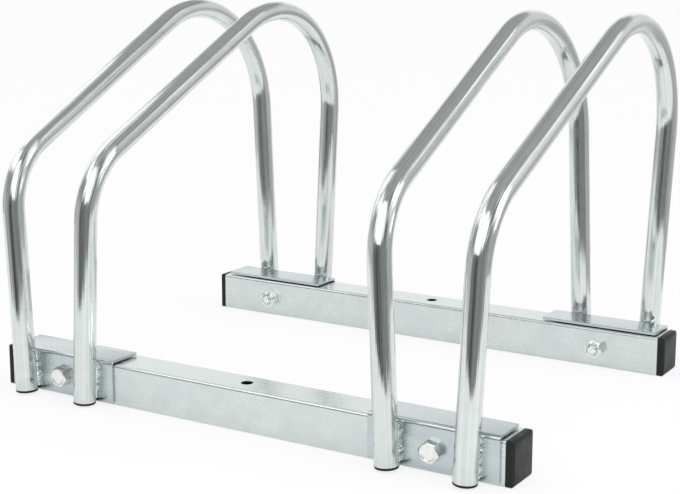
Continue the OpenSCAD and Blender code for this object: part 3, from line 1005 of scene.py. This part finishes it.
def area_lamp(name, place, width, height, power):
    """A soft rectangular lamp that points at the rack."""
    lamp = bpy.data.lights.new(name, "AREA")
    lamp.shape = "RECTANGLE"
    lamp.size = width
    lamp.size_y = height
    lamp.energy = power
    holder = add_object(name, lamp)
    holder.location = place
    holder.rotation_euler = (Vector(LAMP_AIM) - Vector(place)).to_track_quat("-Z", "Y").to_euler()


def floor_material():
    """Pale floor that keeps the rack's soft shadow, and looks whiter to the camera and metal."""
    material, tree, shader = new_material("pale floor")
    grain = put(tree, "ShaderNodeTexNoise", {"Vector": object_place(tree), "Scale": 3.0})
    dark, pale = [rgba((tone, tone, tone)) for tone in FLOOR_TONES]
    link(tree, blend_colour(tree, grain.outputs[0], dark, pale), shader.inputs["Base Color"])
    shader.inputs["Roughness"].default_value = 0.9
    shader.inputs["Specular IOR Level"].default_value = 0.1
    rays, shiny = metal_rays(tree)
    seen = maths(tree, "MULTIPLY", rays.outputs["Is Camera Ray"], CAMERA_WHITE)
    white_share = maths(tree, "ADD", seen, maths(tree, "MULTIPLY", shiny, METAL_WHITE))
    white = put(tree, "ShaderNodeEmission", {"Color": WHITE, "Strength": 1.0})
    mixed = put(tree, "ShaderNodeMixShader",
                {0: white_share, 1: shader.outputs[0], 2: white.outputs[0]})
    link(tree, mixed.outputs[0], tree.nodes["Material Output"].inputs["Surface"])
    return material


def room_field():
    """Group: a soft-edged field of the room, by compass angle and height angle in degrees."""
    group, given, mask = effect_group("room field", {
        "Compass": 0.0, "Height": 0.0, "Middle": 0.0, "Half Width": 30.0, "Low": 0.0,
        "High": 30.0, "Softness": 5.0})
    off = maths(group, "SUBTRACT", given["Compass"], given["Middle"])
    off = maths(group, "ABSOLUTE", maths(group, "WRAP", off, 180.0, -180.0))
    soft = given["Softness"]
    across = soft_step(group, off, given["Half Width"], soft)
    above = soft_step(group, given["Height"], given["Low"], soft)
    below = soft_step(group, given["Height"], given["High"], soft)
    within = maths(group, "MULTIPLY", above, maths(group, "SUBTRACT", 1.0, below))
    link(group, maths(group, "MULTIPLY", within, maths(group, "SUBTRACT", 1.0, across)), mask)
    return group


# The room that the metal sees: its tone, and the fields over it, each with its name, brightness,
# middle, half width, low, high and softness. The compass angle is nought towards -Y and grows
# towards +X.
ROOM_TONE = 0.36
ROOM_FIELDS = (
    ("ceiling", 0.42, 0, 200, 60, 100, 4),
    ("back above", 0.41, 180, 70, 30, 62, 5),
    ("left back", 1.05, -150, 34, -100, 31, 5),
    ("right back", 0.8, 150, 34, -100, 33, 5),
    ("back low", 0.5, 132, 32, -100, 2, 6),
    ("back glow", 1.4, 128, 13, 29, 38, 3),
    ("low left", 0.6, -75, 35, -100, 12, 8),
    ("left high", 2.2, -56, 15, 35, 57, 4),
    ("dark front", 0.26, 32, 58, -100, 20, 7),
    ("dark middle", 0.07, 3, 14, -100, 12, 9),
    ("dark stripe", 0.2, 69, 9, 8, 60, 3),
    ("right side", 0.5, 108, 18, -100, 14, 6),
    ("right strip", 1.4, 95, 13, 18, 50, 3),
)

# Panels of the room that stand near the rack, seen by the metal alone: brightness, middle,
# half width and half height as vectors, and how round the panel is, from nought to one
ROOM_PANELS = {
    "window_panel": (1.5, (0.21, -0.66, 0.66), (0.56, 0, 0), (0, 0, 0.41), 1.0),
    "left_panel": (1.3, (-0.49, -0.02, 0.77), (0, 0.2, 0), (0.13, 0, 0.54), 0.3),
}


def studio_world(room_light):
    """Plain room light. Metal sees the white backdrop, windows and a dark room in front."""
    world = bpy.data.worlds.new("studio")
    bpy.context.scene.world = world
    world.use_nodes = True
    tree = world.node_tree
    tree.nodes.clear()
    way = put(tree, "ShaderNodeTexCoord").outputs["Generated"]
    x, y, z = put(tree, "ShaderNodeSeparateXYZ", {0: way}).outputs
    compass = maths(tree, "DEGREES", maths(tree, "ARCTAN2", x, maths(tree, "MULTIPLY", y, -1.0)))
    height = maths(tree, "DEGREES", maths(tree, "ARCSINE", z))
    field = room_field()
    tone = ROOM_TONE
    for _, bright, middle, half, low, high, soft in ROOM_FIELDS:
        mask = mask_of(tree, field, Compass=compass, Height=height, Middle=middle,
                       Half_Width=half, Low=low, High=high, Softness=soft)
        tone = spread(tree, mask, 0.0, 1.0, tone, bright)
    room = put(tree, "ShaderNodeBackground", {"Color": WHITE, "Strength": room_light})
    seen = put(tree, "ShaderNodeBackground", {"Color": WHITE, "Strength": tone})
    white = put(tree, "ShaderNodeBackground", {"Color": WHITE, "Strength": 1.0})
    rays, shiny = metal_rays(tree)
    first = put(tree, "ShaderNodeMixShader", {0: shiny, 1: room.outputs[0], 2: seen.outputs[0]})
    last = put(tree, "ShaderNodeMixShader",
               {0: rays.outputs["Is Camera Ray"], 1: first.outputs[0], 2: white.outputs[0]})
    out = put(tree, "ShaderNodeOutputWorld")
    link(tree, last.outputs[0], out.inputs["Surface"])


# Corners of the white table, which ends a little way in front of the rack
TABLE_CORNERS = ((-0.95, -0.36), (-0.45, -0.38), (-0.25, -0.4), (-0.15, -0.43), (-0.02, -0.44),
                 (0.08, -0.42), (0.16, -0.385), (0.21, -0.36), (0.25, -0.315), (0.31, -0.27),
                 (0.38, -0.23), (0.47, -0.17), (0.62, -0.02), (0.56, 0.2), (0.36, 0.29),
                 (0.28, 0.34), (0.2, 0.6), (0.1, 1.6), (-0.95, 1.6))


def stage_piece(name, cut):
    """Makes a piece of the stage from a bmesh."""
    piece = add_object(name, written(cut, bpy.data.meshes.new(name)))
    return piece


def flat_piece(name, *outlines):
    """A flat piece of the stage, inside its first outline and outside the others."""
    cut = bmesh.new()
    edges = []
    for points in outlines:
        corners = [cut.verts.new((x, y, 0.0)) for x, y in points]
        edges += [cut.edges.new((corners[i], corners[i - 1])) for i in range(len(corners))]
    bmesh.ops.triangle_fill(cut, edges=edges, use_dissolve=False)
    return stage_piece(name, cut)


def room_piece(name, bright, middle, half_width, half_height, roundness):
    """A bright panel of the room with rounded corners, which only the metal sees."""
    middle, half_width, half_height = Vector(middle), Vector(half_width), Vector(half_height)
    cut = bmesh.new()
    corners = []
    for x, y, _ in circle(1.0, 0.0, PANEL_SIDES):
        stretch = max(abs(x), abs(y)) ** (roundness - 1)
        corners.append(cut.verts.new(middle + x * stretch * half_width + y * stretch * half_height))
    cut.faces.new(corners)
    panel = stage_piece(name, cut)
    material, tree, _ = new_material(name)
    glow = put(tree, "ShaderNodeEmission", {"Color": WHITE, "Strength": bright})
    link(tree, glow.outputs[0], tree.nodes["Material Output"].inputs["Surface"])
    panel.data.materials.append(material)
    panel.visible_camera = False
    panel.visible_diffuse = False
    panel.visible_shadow = False


class RACK_OT_stage(bpy.types.Operator):
    """Sets up the pale floor, the soft lamps and the room"""
    bl_idname = "rack.stage"
    bl_label = "Stage"

    def execute(self, context):
        sizes = context.scene.rack_studio
        rim = [(x, y) for x, y, _ in circle(sizes.floor_r, 0.0, FLOOR_SIDES)]
        pale = floor_material()
        floor = flat_piece("floor", rim, TABLE_CORNERS)
        floor.data.materials.append(pale)
        floor.visible_glossy = False
        flat_piece("table_top", TABLE_CORNERS).data.materials.append(pale)
        area_lamp("softbox_above_camera", SOFTBOX_PLACE, sizes.softbox_w, sizes.softbox_h,
                  sizes.softbox_power)
        area_lamp("softbox_side", SIDE_PLACE, sizes.side_w, sizes.side_h, sizes.side_power)
        for name, shape in ROOM_PANELS.items():
            room_piece(name, *shape)
        studio_world(sizes.room_light)
        return {"FINISHED"}


class RACK_OT_camera(bpy.types.Operator):
    """Stands the camera where the photograph was taken from"""
    bl_idname = "rack.camera"
    bl_label = "Camera"

    def execute(self, context):
        sizes = context.scene.rack_studio
        turn, tilt = sizes.camera_turn, sizes.camera_tilt
        ahead = Vector((math.sin(turn) * math.cos(tilt), math.cos(turn) * math.cos(tilt),
                        -math.sin(tilt)))
        right = Vector((math.cos(turn), -math.sin(turn), 0))
        up = right.cross(ahead)
        basis = Matrix((right, up, -ahead)).transposed()
        roll = Matrix.Rotation(sizes.camera_roll, 3, "Z")
        data = bpy.data.cameras.new("camera")
        data.sensor_width = 36
        data.lens = sizes.lens_mm
        data.shift_y = sizes.shift_y
        data.clip_start = 0.01
        camera = add_object("camera", data)
        camera.matrix_world = (Matrix.Translation(sizes.camera_place)
                               @ (basis @ roll).to_4x4())
        context.scene.camera = camera
        context.scene.view_settings.view_transform = "Standard"
        return {"FINISHED"}


OPERATORS = (RACK_OT_rails, RACK_OT_brackets, RACK_OT_caps, RACK_OT_plugs, RACK_OT_hoops,
             RACK_OT_bolts, RACK_OT_nuts, RACK_OT_welds, RACK_OT_stage, RACK_OT_camera)


class RACK_PT_panel(bpy.types.Panel):
    """Lists the rack's steps and sizes"""
    bl_idname = "RACK_PT_panel"
    bl_label = "Bike rack"
    bl_space_type = "VIEW_3D"
    bl_region_type = "UI"
    bl_category = "Bike rack"

    def draw(self, context):
        for operator in OPERATORS:
            self.layout.operator(operator.bl_idname)
        for name in GROUPS:
            group = getattr(context.scene, name)
            box = self.layout.box()
            for field in group.__annotations__:
                box.prop(group, field)


GROUPS = {
    "rack_hoops": RackHoopSizes,
    "rack_edges": RackEdgeSizes,
    "rack_fasteners": RackFastenerSizes,
    "rack_welds": RackWeldSizes,
    "rack_finishes": RackFinishes,
    "rack_studio": RackStudioSizes,
}
CLASSES = (*GROUPS.values(), *OPERATORS, RACK_PT_panel)


def register():
    for made in CLASSES:
        bpy.utils.register_class(made)
    for name, group in GROUPS.items():
        setattr(bpy.types.Scene, name, bpy.props.PointerProperty(type=group))


def unregister():
    for name in GROUPS:
        delattr(bpy.types.Scene, name)
    for made in reversed(CLASSES):
        bpy.utils.unregister_class(made)


def main():
    """Makes the whole scene."""
    register()
    for operator in OPERATORS:
        area, step = operator.bl_idname.split(".")
        getattr(getattr(bpy.ops, area), step)()


if __name__ == "__main__":
    main()
